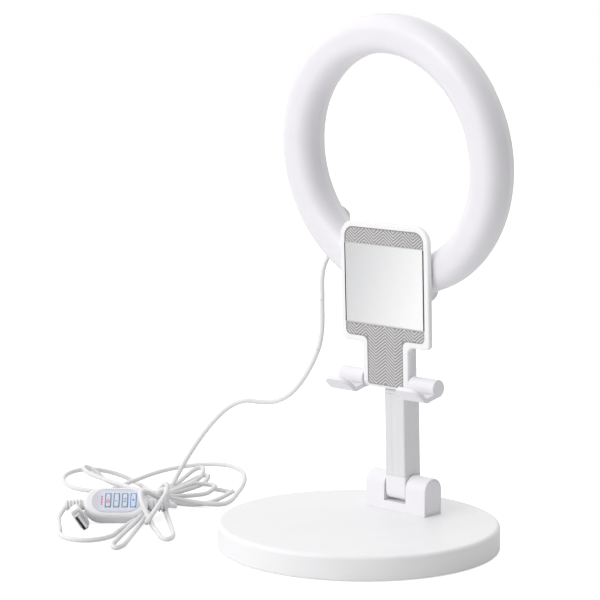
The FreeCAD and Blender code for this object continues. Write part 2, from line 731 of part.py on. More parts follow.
def ring_shell(label, face):
    """Half of the ring's hollow section, from the parting line to its front or back face."""
    piece = Piece(label, ring_frame())
    far = "ring_radius + tube_half"
    near = "ring_radius - tube_half"
    piece.turned([("parting", far), (face, far), (face, near), ("parting", near)],
                 axis="H_Axis", plane="YZ_Plane")
    piece.soften("ring_round", on_level("Y", evaluate(face)))
    piece.hollow("ring_wall", lambda face: face.BoundBox.YLength < 0.1
                 and abs(face.CenterOfMass.y - size("parting")) < 0.1)
    clear_bracket(piece)
    return piece


def ring_diffuser():
    """The front shell is also relieved for the bracket's web."""
    piece = ring_shell("ring_diffuser", "-tube_half_deep")
    half = "bracket_width / 2 + pocket_gap"
    deep = ("-ring_back - ear_radius - 2 * pocket_gap", "tube_half_deep")
    piece.block((f"-({half})", half), deep, ("-ring_rise", "-ring_rise + bracket_top + pocket_gap"),
                cut=True, name="web_pocket")


def ring_housing():
    """The rear shell has two screw bosses that stand on the back of the bracket."""
    piece = ring_shell("ring_housing", "tube_half_deep")
    low = "-ring_back + ear_radius + pocket_gap"
    for place in ring_screw_places():
        piece.rod("Y", "boss_radius", (low, "tube_half_deep - ring_wall + 0.3"), place, name="boss")
    for place in ring_screw_places():
        piece.rod("Y", "screw_head_radius + 0.4", ("ring_seat", "tube_half_deep + 1"), place, cut=True,
                  name="seat")
        piece.rod("Y", "pilot_radius", (low, "ring_seat"), place, cut=True, name="pass")
    x, z = outlet_place()
    piece.rod("Y", "cord_radius + 0.2", ("tube_half_deep - 4", "tube_half_deep + 1"), (str(x), str(z)),
              cut=True, name="outlet")


def clear_bracket(piece):
    """Opens a ring shell for the hinge bracket and for the arm's swing behind the ring."""
    half = "bracket_width / 2 + pocket_gap"
    middle = ("-ring_back", "-ring_rise")
    piece.rod("X", "ear_radius + pocket_gap", (f"-({half})", half), middle, cut=True, name="ear_pocket")
    front = -size("arm_front_limit")
    back = size("arm_back_limit")
    steps = 4
    for step in range(steps):
        angle = front + (back - front) * step / (steps - 1)
        swing_slot(piece, angle)


def swing_slot(piece, angle):
    """Removes the width of the arm, pointing down from the hinge and turned back by an angle."""
    item = piece.feature("SubtractiveBox", "slot")
    tie(item, Length="notch_width", Width="2 * slot_half", Height="slot_reach")
    turn = Rotation(Vector(1, 0, 0), angle)
    corner = turn.multVec(Vector(-size("notch_width") / 2, -size("slot_half"), -size("slot_reach")))
    item.Placement = Placement(Vector(0, -size("ring_back"), -size("ring_rise")) + corner, turn)
    doc.recompute()
    piece.volume = item.Shape.Volume


def ring_bracket():
    piece = Piece("ring_bracket", ring_hinge_frame())
    half = "bracket_width / 2"
    piece.rod("X", "ear_radius", (f"-{half}", half), name="arch")
    piece.block((f"-{half}", half), ("-ear_radius", "ear_radius"), ("0", "bracket_top"))
    notch = ("-notch_width / 2", "notch_width / 2")
    piece.block(notch, ("-20", "20"), ("-20", "web_low"), cut=True, name="notch")
    bore_ends(piece, "0", cap_down=False)
    for side in ("1", "-1"):
        piece.rod("Y", "pilot_radius", ("ear_radius - 7", "ear_radius"),
                  (f"{side} * ring_screw_x", "ring_screw_rise"), cut=True, name="pilot")


def ring_screw_places():
    """Places of the bracket's screws, seen from behind, in the ring's own frame."""
    return [(f"{side} * ring_screw_x", "ring_screw_rise - ring_rise") for side in ("1", "-1")]


def ring_screws():
    """Two screws from behind that clamp the housing to the hinge bracket."""
    screws = []
    for place in ring_screw_places():
        head = part_rod("head", "Y", "screw_head_radius", ("ring_seat", "ring_seat + screw_head_height"),
                        place)
        shank = part_rod("shank", "Y", "screw_radius", ("ring_seat - 9", "ring_seat"), place)
        screws.append(fused("screw", [head, shank]))
    group("ring_bracket_screws", screws, ring_frame())


def led_board():
    """The lamp board is a flat ring, open at the bottom where the hinge bracket sits."""
    span = ("board_front", "board_front + board_thick")
    rim = part_rod("rim", "Y", "board_outer", span)
    hole = part_rod("hole", "Y", "board_inner", span)
    gap = part_block("gap", ("-board_gap_half", "board_gap_half"), ("0", "10"), ("-100", "-50"))
    disc = cut("disc", rim, hole)
    keep("led_board", cut("board", disc, gap), ring_frame())


def leds():
    """Small lamps spread round the board, left out over its gap."""
    lamps = []
    reach = size("ring_radius")
    front = size("board_front") - size("led_height")
    gap = math.degrees(math.asin(size("board_gap_half") / size("ring_radius"))) + 3
    for number in range(LED_COUNT):
        angle = gap + (360 - 2 * gap) * number / (LED_COUNT - 1)
        lamp = Part.makeBox(size("led_width"), size("led_height"), size("led_length"),
                            Vector(-size("led_width") / 2, front, -reach - size("led_length") / 2))
        lamp.rotate(Vector(), Vector(0, 1, 0), angle)
        lamps.append(lamp)
    item = doc.addObject("Part::Feature", "leds")
    item.Shape = Part.makeCompound(lamps)
    keep("leds", item, ring_frame())


def outlet_place():
    """Where the lamp cord leaves the back of the ring, in the ring's own frame."""
    turn = math.radians(OUTLET_ANGLE)
    reach = size("ring_radius")
    return (-reach * math.sin(turn), -reach * math.cos(turn))


def cord_grommet():
    """A short rubber sleeve on the back of the housing, round the lamp cord."""
    x, z = outlet_place()
    back = "tube_half_deep"
    place = (str(x), str(z))
    parts = [
        part_rod("flange", "Y", "sleeve_radius + 1.2", (back, f"{back} + 1.2"), place),
        part_rod("sleeve", "Y", "sleeve_radius", (f"{back} + 1.2", f"{back} + sleeve_length"), place),
    ]
    keep("cord_grommet", fused("grommet", parts), ring_frame())


# cord, controller and plug -----------------------------------------------------------------


def tube_along(curve_shape, start, direction, radius):
    """A solid round cord swept along one curve."""
    circle = Part.Circle(start, direction, radius)
    section = Part.Wire(circle.toShape())
    return Part.Wire(curve_shape).makePipeShell([section], True, True)


def fall_place(share):
    """A place on the falling cord, by its share of the way from the post to the floor."""
    x, y = (start + (end - start) * share for start, end in zip(FALL_START[:2], FALL_END[:2]))
    z = FALL_LEVEL
    if share < FALL_EASED:
        z += (FALL_START[2] - FALL_LEVEL) * (1 - share / FALL_EASED) ** 2.6
    elif share > FALL_LEAVES:
        z -= (FALL_LEVEL - FALL_END[2]) * ((share - FALL_LEAVES) / (1 - FALL_LEAVES)) ** 1.6
    return Vector(x, y, z)


def cord_runs():
    """The hanging cord is one smooth curve, cut where it passes from one moving part to the next."""
    x, z = outlet_place()
    sleeve_end = size("tube_half_deep") + size("sleeve_length")
    outlet = ring_frame().multVec(Vector(x, sleeve_end + CORD_GAP, z))
    stub = ring_frame().multVec(Vector(x, sleeve_end + CORD_GAP + CORD_STUB, z))
    places = [outlet, stub] + [Vector(*place) for place in CORD_RING + CORD_POST]
    places += [fall_place(number / FALL_STEPS) for number in range(FALL_STEPS + 1)]
    curve = Part.BSplineCurve()
    curve.interpolate(Points=places)
    post_start = len(CORD_RING) + 2
    cuts = [0, post_start, post_start + len(CORD_POST), len(places) - 1]
    for label, first, last in zip(("cord_at_ring", "cord_at_post", "cord_fall"), cuts, cuts[1:]):
        start = curve.parameter(places[first]) + (CORD_STEP if first else 0)
        run = curve.toShape(start, curve.parameter(places[last]))
        item = doc.addObject("Part::Feature", label)
        item.Shape = tube_along(run, curve.value(start), curve.tangent(start)[0], size("cord_radius"))
        keep(label, item)


def coil(along_axis, across, half_length, half_width):
    """One oval turn of cord lying on the floor, at a place in the bundle's own axes."""
    radius = size("cord_radius")
    longer = max(half_length, half_width)
    shorter = min(half_length, half_width)
    ellipse = Part.Ellipse(Vector(0, 0, 0), longer, shorter)
    turn = tube_along(ellipse.toShape(), Vector(longer, 0, 0), Vector(0, 1, 0), radius)
    if half_width > half_length:
        turn.rotate(Vector(), Vector(0, 0, 1), 90)
    turn.translate(Vector(along_axis, across, radius))
    return turn


def cord_bundle():
    """The spare cord lies on the floor as oval turns, held by one turn round the middle."""
    item = doc.addObject("Part::Feature", "cord_bundle")
    item.Shape = Part.makeCompound([coil(*turn) for turn in BUNDLE_COILS])
    keep("cord_bundle", item, bundle_frame((0, 0, 0)))
    ring = doc.addObject("Part::Torus", "tie")
    tie(ring, Radius2="cord_radius")
    ring.Radius1 = TIE_RADIUS
    height = TIE_RADIUS + size("cord_radius")
    upright = Placement(Vector(), Rotation(Vector(0, 1, 0), 90))
    keep("cord_tie", ring, bundle_frame((*TIE_AT, height)).multiply(upright))


def control_shells():
    """Two halves of the controller's case, with a bed for the keypad and wells for its buttons."""
    x, y = half_spans("control_length", "control_width")
    hollow_x, hollow_y = half_spans("control_length - 12", "control_width - 2", "control_wall")
    for label, sign in (("control_top", 1), ("control_bottom", -1)):
        piece = Piece(label, control_frame())
        outer = end_span(sign, "0.02", "control_half")
        piece.block(x, y, outer)
        piece.soften("control_corner", along("Z", 4))
        piece.soften("control_round", on_level("Z", sign * size("control_half")))
        piece.block(hollow_x, hollow_y, end_span(sign, "0", "control_half - 2.9"), cut=True, name="hollow")
        if sign > 0:
            button_wells(piece)


def button_wells(piece):
    for place in button_places():
        well_x, well_y = button_spans(place, "button_gap")
        piece.block(well_x, well_y, ("control_half - 4", "control_half + 1"), cut=True, name="well")


def button_places():
    return [f"button_start + {number} * button_pitch" for number in range(len(CONTROL_BUTTONS))]


def button_spans(place, more="0"):
    half_x = f"(button_width / 2 + {more})"
    half_y = f"(button_length / 2 + {more})"
    return (f"{place} - {half_x}", f"{place} + {half_x}"), (f"-{half_y}", half_y)


def keypad_panel():
    """A printed overlay on the case, with a window for each button."""
    piece = Piece("keypad_panel", control_frame())
    x, y = half_spans("panel_length", "panel_width")
    piece.block(x, y, ("control_half", "control_half + panel_thick"))
    piece.soften("panel_corner", along("Z"))
    for place in button_places():
        window_x, window_y = button_spans(place, "button_gap")
        piece.block(window_x, window_y, ("control_half - 1", "control_half + 2"), cut=True, name="window")


def buttons():
    for label, place in zip(CONTROL_BUTTONS, button_places()):
        piece = Piece(label, control_frame())
        x, y = button_spans(place)
        piece.block(x, y, ("control_half - button_deep", "control_half + button_proud"))
        piece.soften("button_corner", along("Z"))
        piece.soften("0.3", on_level("Z", size("control_half") + size("button_proud")))


def control_board():
    x, y = half_spans("control_length - 18", "control_width - 9")
    item = part_block("board", x, y, ("-control_board_thick / 2", "control_board_thick / 2"))
    group("control_board", [item], control_frame())


def control_reliefs():
    """Ribbed, tapering strain reliefs where the cord enters both ends of the controller."""
    reliefs = []
    for side in (1, -1):
        start = size("control_length") / 2
        cone = doc.addObject("Part::Cone", "taper")
        tie(cone, Radius1="relief_radius", Radius2="relief_tip", Height="relief_length")
        cone.Placement = Placement(Vector(side * start, 0, 0), Rotation(Vector(0, 1, 0), 90 * side))
        parts = [cone]
        for rib in range(5):
            place = f"control_length / 2 + 1.2 + {rib} * 2.8"
            radius = f"relief_radius + 0.5 - {rib} * 0.26"
            parts.append(part_rod("rib", "X", radius, end_span(side, place, place + " + 1.4")))
        reliefs.append(fused("relief", parts))
    group("control_strain_reliefs", reliefs, control_frame())


def usb_plug():
    """A charging plug: moulded grip, folded metal shell and the insulating tongue inside it."""
    frame = plug_frame()
    piece = Piece("plug_grip", frame)
    x, y = half_spans("plug_width", "plug_thick")
    piece.block(x, ("0", "plug_length"), y)
    piece.soften("plug_round", along("Y", 10))
    piece.rod("Y", "relief_tip + 0.6", ("plug_length", "plug_length + plug_neck"), name="neck")
    shell = Piece("plug_shell", frame)
    x, z = half_spans("shell_width", "shell_thick")
    shell.block(x, ("-shell_length", "-0.02"), z)
    shell.soften("0.7", along("Y", 10))
    x, z = half_spans("shell_width", "shell_thick", "shell_wall")
    shell.block(x, ("-shell_length", "0"), z, cut=True, name="mouth")
    half = "tongue_width / 2"
    tongue = part_block("tongue", (f"-{half}", half), ("-tongue_length", "-0.02"),
                        ("0", "tongue_thick"))
    group("plug_tongue", [tongue], frame)


# whole part --------------------------------------------------------------------------------


def build_all():
    base_shell()
    base_cover()
    base_weight()
    base_pad()
    base_screws()
    hinge_bracket()
    foot_frame = Placement(Vector(0, size("hinge_y"), 0), Rotation())
    axis_height = "base_height + hinge_rise"
    end_cap("bracket_cap_left", -1, foot_frame, axis_height, cap_down=True)
    end_cap("bracket_cap_right", 1, foot_frame, axis_height, cap_down=True)
    bolt_set("foot_hinge", foot_frame, axis_height)
    pole_foot()
    outer_tube()
    set_screw()
    slide_collar()
    inner_tube()
    guide_shoe()
    neck_head()
    plate_frame()
    grip_pads()
    mirror()
    plate_pin()
    hook("hook_left", -1)
    hook("hook_right", 1)
    ring_diffuser()
    ring_housing()
    ring_bracket()
    ring_screws()
    end_cap("ring_cap_left", -1, ring_hinge_frame(), "0", cap_down=False)
    end_cap("ring_cap_right", 1, ring_hinge_frame(), "0", cap_down=False)
    bolt_set("ring_hinge", ring_hinge_frame())
    led_board()
    leds()
    cord_grommet()
    cord_runs()
    cord_bundle()
    control_shells()
    keypad_panel()
    buttons()
    control_board()
    control_reliefs()
    usb_plug()


def check():
    doc.recompute()
    for item in doc.Objects:
        if "Invalid" in item.State or "Error" in item.State:
            raise ValueError(f"{item.Label} failed: {item.State}")
    for label, item in nodes.items():
        if item.Shape.isNull() or not item.Shape.isValid():
            raise ValueError(f"{label} has no valid shape")


def export():
    os.makedirs("parts", exist_ok=True)
    for label, item in nodes.items():
        item.Shape.exportStep(f"parts/{label}.step")


fill_sheet()
build_all()
check()
export()
print(len(nodes), "sub-parts written")
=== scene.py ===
"""Looks for the desktop ring light: finishes for the CAD parts, and the soft and fine pieces round them."""
import math

import bpy
from mathutils import Matrix, Vector


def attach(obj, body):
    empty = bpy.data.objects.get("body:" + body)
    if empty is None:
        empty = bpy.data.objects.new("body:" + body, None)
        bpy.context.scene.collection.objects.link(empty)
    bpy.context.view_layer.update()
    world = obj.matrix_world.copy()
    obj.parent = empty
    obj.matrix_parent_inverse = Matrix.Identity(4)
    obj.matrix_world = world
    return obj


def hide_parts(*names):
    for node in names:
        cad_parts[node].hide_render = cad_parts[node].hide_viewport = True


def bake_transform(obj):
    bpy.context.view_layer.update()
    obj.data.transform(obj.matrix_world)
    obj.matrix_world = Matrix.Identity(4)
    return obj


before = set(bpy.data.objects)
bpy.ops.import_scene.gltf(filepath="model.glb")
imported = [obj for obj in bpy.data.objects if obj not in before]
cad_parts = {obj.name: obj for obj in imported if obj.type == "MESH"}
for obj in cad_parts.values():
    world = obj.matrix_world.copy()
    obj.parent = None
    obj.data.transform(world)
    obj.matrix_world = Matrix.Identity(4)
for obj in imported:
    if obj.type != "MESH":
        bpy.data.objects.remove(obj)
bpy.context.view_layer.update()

MM = 0.001
CORD_RADIUS = 1.8

# local frames, matching the part's own: each works in millimetres ---------------------------


def shift(x, y, z):
    return Matrix.Translation((x * MM, y * MM, z * MM))


def turn(degrees, axis):
    return Matrix.Rotation(math.radians(degrees), 4, axis)


HINGE_Y = 48.5
HINGE_Z = 35.1
POLE = shift(0, HINGE_Y, HINGE_Z) @ turn(2.5, "X")
RING_HINGE = POLE @ shift(0, 0, 147) @ turn(4.4, "X")
RING = RING_HINGE @ shift(0, 3.2, 92)
PIVOT = POLE @ shift(0, -12.2, 79)
COIL = shift(-186, -6, 0) @ turn(41.5, "Z")
CONTROL = COIL @ shift(-35, -58, 11.9) @ turn(2.5, "Z") @ turn(38, "X")
PLUG = COIL @ shift(-58.5, -84, 7.9) @ turn(12, "Z") @ turn(56, "Y")
WORLD = Matrix.Identity(4)

# materials ---------------------------------------------------------------------------------

RANGE_ENDS = ("From Min", "From Max", "To Min", "To Max")


class Nodes:
    """A short way to write a material's node graph."""

    def __init__(self, name):
        self.material = bpy.data.materials.new(name)
        self.material.use_nodes = True
        self.tree = self.material.node_tree
        self.shader = self.tree.nodes["Principled BSDF"]
        self.place = self.add("ShaderNodeTexCoord").outputs["Object"]

    def add(self, kind, **settings):
        node = self.tree.nodes.new(kind)
        for key, value in settings.items():
            setattr(node, key, value)
        return node

    def link(self, source, target):
        self.tree.links.new(source, target)

    def noise(self, scale, detail=3.0, vector=None):
        node = self.add("ShaderNodeTexNoise")
        node.inputs["Scale"].default_value = scale
        node.inputs["Detail"].default_value = detail
        self.link(vector or self.place, node.inputs["Vector"])
        return node.outputs["Fac"]

    def math(self, operation, first, second=0.0):
        node = self.add("ShaderNodeMath", operation=operation)
        for index, value in enumerate((first, second)):
            if isinstance(value, (int, float)):
                node.inputs[index].default_value = value
            else:
                self.link(value, node.inputs[index])
        return node.outputs["Value"]

    def remap(self, value, low, high, new_low, new_high):
        node = self.add("ShaderNodeMapRange")
        for name, number in zip(RANGE_ENDS, (low, high, new_low, new_high)):
            node.inputs[name].default_value = number
        self.link(value, node.inputs["Value"])
        return node.outputs["Result"]

    def ramp(self, value, stops):
        node = self.add("ShaderNodeValToRGB")
        elements = node.color_ramp.elements
        while len(elements) < len(stops):
            elements.new(0.5)
        for element, (where, colour) in zip(elements, stops):
            element.position = where
            element.color = (*colour, 1.0)
        self.link(value, node.inputs["Fac"])
        return node.outputs["Color"]

    def local(self, matrix):
        """Object coordinates turned into a local frame, in millimetres, as separate X, Y and Z."""
        inverse = matrix.inverted()
        mapping = self.add("ShaderNodeMapping")
        mapping.inputs["Location"].default_value = inverse.to_translation() / MM
        mapping.inputs["Rotation"].default_value = inverse.to_euler()
        mapping.inputs["Scale"].default_value = (1 / MM,) * 3
        self.link(self.place, mapping.inputs["Vector"])
        split = self.add("ShaderNodeSeparateXYZ")
        self.link(mapping.outputs["Vector"], split.inputs["Vector"])
        return split.outputs["X"], split.outputs["Y"], split.outputs["Z"]

    def bump(self, height, strength, distance, edge=0.0):
        node = self.add("ShaderNodeBump")
        node.inputs["Strength"].default_value = strength
        node.inputs["Distance"].default_value = distance
        self.link(height, node.inputs["Height"])
        if edge:
            rounded = self.add("ShaderNodeBevel", samples=4)
            rounded.inputs["Radius"].default_value = edge
            self.link(rounded.outputs["Normal"], node.inputs["Normal"])
        self.link(node.outputs["Normal"], self.shader.inputs["Normal"])

    def set(self, **values):
        for name, value in values.items():
            self.shader.inputs[name.replace("_", " ")].default_value = value


def tinted(colour, factor):
    return tuple(min(1.0, channel * factor) for channel in colour)


def plain(name, colour, rough, metallic=0.0, edge=0.0004, grain=1400, depth=0.00002, mottled=0.008,
          coat=0.0, soft=0.0):
    """A moulded or painted finish: faint mottling, fine grain and edges that catch the light."""
    nodes = Nodes(name)
    cloud = nodes.noise(45, 2.0)
    nodes.link(nodes.ramp(cloud, [(0.3, tinted(colour, 1 - mottled)), (0.7, tinted(colour, 1 + mottled))]),
               nodes.shader.inputs["Base Color"])
    fine = nodes.noise(grain, 4.0)
    nodes.link(nodes.remap(fine, 0.3, 0.7, rough - 0.05, rough + 0.05), nodes.shader.inputs["Roughness"])
    nodes.bump(fine, 0.25, depth, edge)
    nodes.set(Metallic=metallic, Coat_Weight=coat, Coat_Roughness=0.2)
    if soft:
        nodes.set(Subsurface_Weight=soft, Subsurface_Scale=0.004)
        nodes.shader.inputs["Subsurface Radius"].default_value = (1.0, 0.95, 0.9)
    return nodes.material


def brushed(name, colour, rough, metallic, lines_per_mm, contrast, edge):
    """A finish with lines drawn along the pole."""
    nodes = Nodes(name)
    x, y, z = nodes.local(POLE)
    joined = nodes.add("ShaderNodeCombineXYZ")
    nodes.link(nodes.math("MULTIPLY", x, lines_per_mm), joined.inputs["X"])
    nodes.link(nodes.math("MULTIPLY", y, lines_per_mm), joined.inputs["Y"])
    nodes.link(nodes.math("MULTIPLY", z, lines_per_mm * 0.02), joined.inputs["Z"])
    lines = nodes.noise(1.0, 5.0, joined.outputs["Vector"])
    shades = [(0.3, tinted(colour, 1 - contrast)), (0.7, tinted(colour, 1 + contrast))]
    nodes.link(nodes.ramp(lines, shades), nodes.shader.inputs["Base Color"])
    nodes.link(nodes.remap(lines, 0.3, 0.7, rough - 0.06, rough + 0.06), nodes.shader.inputs["Roughness"])
    nodes.bump(lines, 0.2, 0.000004, edge)
    nodes.set(Metallic=metallic, Anisotropic=0.4)
    return nodes.material


def mirror_glass(name):
    """Silvered glass; its base colour carries a painted reflection that fades from grey at the upper left to
    clear white at the lower right.
    """
    nodes = Nodes(name)
    x, _, z = nodes.local(POLE)
    # painted reflection: a diagonal fade in the base colour, from grey to white
    painted_reflection_fade = nodes.math("SUBTRACT", x, nodes.math("MULTIPLY", z, 0.45))
    painted_reflection_fade = nodes.remap(painted_reflection_fade, -118.0, -30.0, 0.0, 1.0)
    nodes.link(nodes.ramp(painted_reflection_fade, [(0.0, (0.64, 0.645, 0.65)), (0.45, (0.80, 0.80, 0.81)),
                                  (1.0, (1.0, 1.0, 1.0))]), nodes.shader.inputs["Base Color"])
    smear = nodes.noise(60, 3.0)
    nodes.link(nodes.remap(smear, 0.3, 0.7, 0.06, 0.12), nodes.shader.inputs["Roughness"])
    nodes.bump(smear, 0.01, 0.0001, 0.0003)
    nodes.set(Metallic=0.55)
    return nodes.material


def panel_print(name):
    """The keypad film: lilac grey at its rim, pale blue between the buttons."""
    nodes = Nodes(name)
    x, y, _ = nodes.local(CONTROL)
    far = nodes.math("ABSOLUTE", nodes.math("SUBTRACT", x, 3.0))
    across = nodes.math("MULTIPLY", nodes.math("ABSOLUTE", y), 1.6)
    reach = nodes.math("MAXIMUM", far, across)
    nodes.link(nodes.ramp(nodes.remap(reach, 8.0, 17.0, 0.0, 1.0),
                          [(0.0, (0.62, 0.72, 0.86)), (0.45, (0.66, 0.73, 0.84)), (1.0, (0.63, 0.60, 0.68))]),
               nodes.shader.inputs["Base Color"])
    fine = nodes.noise(1600, 3.0)
    nodes.link(nodes.remap(fine, 0.3, 0.7, 0.32, 0.42), nodes.shader.inputs["Roughness"])
    nodes.bump(fine, 0.2, 0.00001, 0.0002)
    return nodes.material


WHITE = (0.86, 0.86, 0.87)
FINISHES = {
    "white_plastic": plain("base_white", WHITE, 0.42, edge=0.0005),
    "bracket_plastic": plain("bracket_white", (0.845, 0.83, 0.86), 0.40, edge=0.0006, mottled=0.01),
    "diffuser_white": plain("diffuser_white_satin", (0.84, 0.82, 0.855), 0.34, edge=0.0, soft=0.30,
                            mottled=0.01),
    "tube_white": brushed("tube_coat", (0.755, 0.752, 0.77), 0.32, 0.15, 0.22, 0.025, 0.0009),
    "tube_satin": brushed("tube_satin_metal", (0.66, 0.68, 0.68), 0.34, 0.85, 0.9, 0.045, 0.0003),
    "collar_plastic": plain("collar_nylon", (0.80, 0.80, 0.81), 0.48),
    "frame_plastic": plain("frame_gloss", (0.88, 0.88, 0.89), 0.28, edge=0.0005, coat=0.3),
    "grip_pad": plain("pad_rubber", (0.31, 0.30, 0.305), 0.82, edge=0.0, grain=2600, depth=0.00006,
                      mottled=0.05),
    "mirror_glass": mirror_glass("mirror_silver"),
    "steel": plain("screw_steel", (0.52, 0.52, 0.54), 0.32, metallic=1.0, edge=0.0002),
    "steel_weight": plain("ballast_steel", (0.30, 0.30, 0.31), 0.45, metallic=0.9),
    "foot_rubber": plain("foot_dark", (0.05, 0.05, 0.055), 0.85),
    "cord_white": plain("cord_sheath", (0.80, 0.79, 0.80), 0.46, edge=0.0, grain=900, mottled=0.03),
    "board_white": plain("board_mask_white", (0.75, 0.77, 0.77), 0.5),
    "board_green": plain("board_mask_green", (0.03, 0.20, 0.09), 0.4),
    "lamp": plain("lamp_phosphor", (0.93, 0.80, 0.35), 0.3),
    "case_plastic": plain("case_white", (0.84, 0.84, 0.85), 0.36, edge=0.0004),
    "panel_print": panel_print("panel_film"),
    "button_plastic": plain("button_pale", (0.66, 0.70, 0.80), 0.5, edge=0.0002),
    "plug_metal": plain("plug_plate", (0.62, 0.62, 0.63), 0.25, metallic=1.0, edge=0.0002),
    "plug_insulator": plain("plug_white_tongue", (0.82, 0.82, 0.82), 0.5),
}
STROKE = plain("pad_stroke", (0.62, 0.605, 0.61), 0.75, edge=0.0, grain=2600, depth=0.00004)
# near black, for strips that paint the shadow in the gaps beside the mirror
GAP_SHADOW_DARK = plain("painted_gap_shadow", (0.012, 0.012, 0.014), 0.6, edge=0.0)
OUTLINE_INK = plain("ink_blue_grey", (0.10, 0.15, 0.24), 0.5, edge=0.0)
BLUE_INK = plain("ink_blue", (0.05, 0.30, 0.75), 0.5, edge=0.0)
RED_INK = plain("ink_red", (0.70, 0.04, 0.13), 0.5, edge=0.0)

for node_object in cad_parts.values():
    for index, old in enumerate(node_object.data.materials):
        node_object.data.materials[index] = FINISHES[old.name.split(".")[0]]

# mesh makers -------------------------------------------------------------------------------


def piece(name, matrix, points, faces, material, body, slot, smooth=True):
    """A mesh drawn in a local frame in millimetres, which rides on one CAD body."""
    mesh = bpy.data.meshes.new(name)
    mesh.from_pydata([matrix @ (Vector(point) * MM) for point in points], [], faces)
    mesh.polygons.foreach_set("use_smooth", [smooth] * len(faces))
    mesh.materials.append(material)
    mesh.update()
    item = bpy.data.objects.new(name, mesh)
    bpy.context.scene.collection.objects.link(item)
    if body:
        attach(item, body)
    return item


def smooth_path(points, steps=10):
    """A centripetal Catmull-Rom curve through the points, which start and end it."""
    places = [Vector(point) for point in points]
    places = [places[0] * 2 - places[1]] + places + [places[-1] * 2 - places[-2]]
    curve = []
    for start, first, second, end in zip(places, places[1:], places[2:], places[3:]):
        times = [0.0]
        for here, there in ((start, first), (first, second), (second, end)):
            times.append(times[-1] + max((there - here).length, 1e-6) ** 0.5)
        for step in range(steps):
            now = times[1] + (times[2] - times[1]) * step / steps
            curve.append(spline_point((start, first, second, end), times, now))
    curve.append(places[-2])
    return curve


def spline_point(places, times, now):
    def between(a, b, start, end):
        share = (now - start) / (end - start)
        return a * (1 - share) + b * share
    a, b, c = (between(places[i], places[i + 1], times[i], times[i + 1]) for i in range(3))
    d = between(a, b, times[0], times[2])
    e = between(b, c, times[1], times[3])
    return between(d, e, times[1], times[2])


def tube(path, radius, sides=12):
    """Points and faces of a round tube along a path."""
    points = []
    faces = []
    normal = (path[1] - path[0]).orthogonal().normalized()
    for index, centre in enumerate(path):
        before = path[max(index - 1, 0)]
        after = path[min(index + 1, len(path) - 1)]
        along = (after - before).normalized()
        normal = (normal - along * normal.dot(along)).normalized()
        across = along.cross(normal)
        here = radius(index / (len(path) - 1)) if callable(radius) else radius
        for side in range(sides):
            angle = 2 * math.pi * side / sides
            points.append(centre + (normal * math.cos(angle) + across * math.sin(angle)) * here)
    for ring in range(len(path) - 1):
        for side in range(sides):
            low = ring * sides
            following = (side + 1) % sides
            faces.append((low + side, low + following, low + sides + following, low + sides + side))
    faces.append(tuple(reversed(range(sides))))
    faces.append(tuple(range((len(path) - 1) * sides, len(path) * sides)))
    return points, faces


def joined(parts):
    """Several (points, faces) pairs as one."""
    points = []
    faces = []
    for more_points, more_faces in parts:
        start = len(points)
        points += more_points
        faces += [tuple(index + start for index in face) for face in more_faces]
    return points, faces


def prism(outline, low, high, axis=1):
    """A slab over a flat outline; the outline's two coordinates fill the places other than axis."""
    def solid_point(pair, level):
        values = list(pair)
        values.insert(axis, level)
        return Vector(values)
    count = len(outline)
    points = [solid_point(pair, low) for pair in outline] + [solid_point(pair, high) for pair in outline]
    faces = [tuple(range(count)), tuple(reversed(range(count, 2 * count)))]
    for side in range(count):
        following = (side + 1) % count
        faces.append((side, side + count, following + count, following))
    return points, faces


def rounded(x, y, half_x, half_y, radius, steps=5):
    """A rounded rectangle as a list of corners round its outline."""
    outline = []
    for quarter, (sx, sy) in enumerate(((1, 1), (-1, 1), (-1, -1), (1, -1))):
        for step in range(steps + 1):
            angle = math.radians(90 * quarter + 90 * step / steps)
            outline.append((x + sx * (half_x - radius) + radius * math.cos(angle),
                            y + sy * (half_y - radius) + radius * math.sin(angle)))
    return outline


def loop_strip(outer, inner, low, high):
    """A thin frame between two outlines of equal length, standing from low to high along Z."""
    count = len(outer)
    points = [Vector((*pair, level)) for level in (low, high) for pair in outer + inner]
    faces = []
    for side in range(count):
        following = (side + 1) % count
        outer_low, inner_low = 0, count
        outer_high, inner_high = 2 * count, 3 * count
        faces.append((outer_high + side, outer_high + following, inner_high + following, inner_high + side))
        faces.append((outer_low + side, outer_low + following, outer_high + following, outer_high + side))
        faces.append((inner_low + following, inner_low + side, inner_high + side, inner_high + following))
        faces.append((outer_low + following, outer_low + side, inner_low + side, inner_low + following))
    return points, faces


# cord --------------------------------------------------------------------------------------

OUTLET = math.radians(58.0)
OUTLET_REACH = 86.6
SLEEVE_END = 19.0


def outlet_place(back):
    place = Vector((-OUTLET_REACH * math.sin(OUTLET), back, -OUTLET_REACH * math.cos(OUTLET)))
    return tuple(RING @ (place * MM) / MM)


FALL_START = Vector((-87, 51, 124))
FALL_END = Vector((-190, -1, 13))
FALL_LEVEL = 82
FALL_EASED = 0.38
FALL_LEAVES = 0.5
FALL_FIRST_POWER = 2.6
FALL_SECOND_POWER = 1.6
FALL_STEPS = 10


def fall_place(share):
    """A place on the falling cord: straight on plan, and dropping, level, then dropping in height."""
    place = FALL_START.lerp(FALL_END, share)
    place.z = FALL_LEVEL
    if share < FALL_EASED:
        place.z += (FALL_START.z - FALL_LEVEL) * (1 - share / FALL_EASED) ** FALL_FIRST_POWER
    elif share > FALL_LEAVES:
        past = (share - FALL_LEAVES) / (1 - FALL_LEAVES)
        place.z -= (FALL_LEVEL - FALL_END.z) * past ** FALL_SECOND_POWER
    return tuple(place)


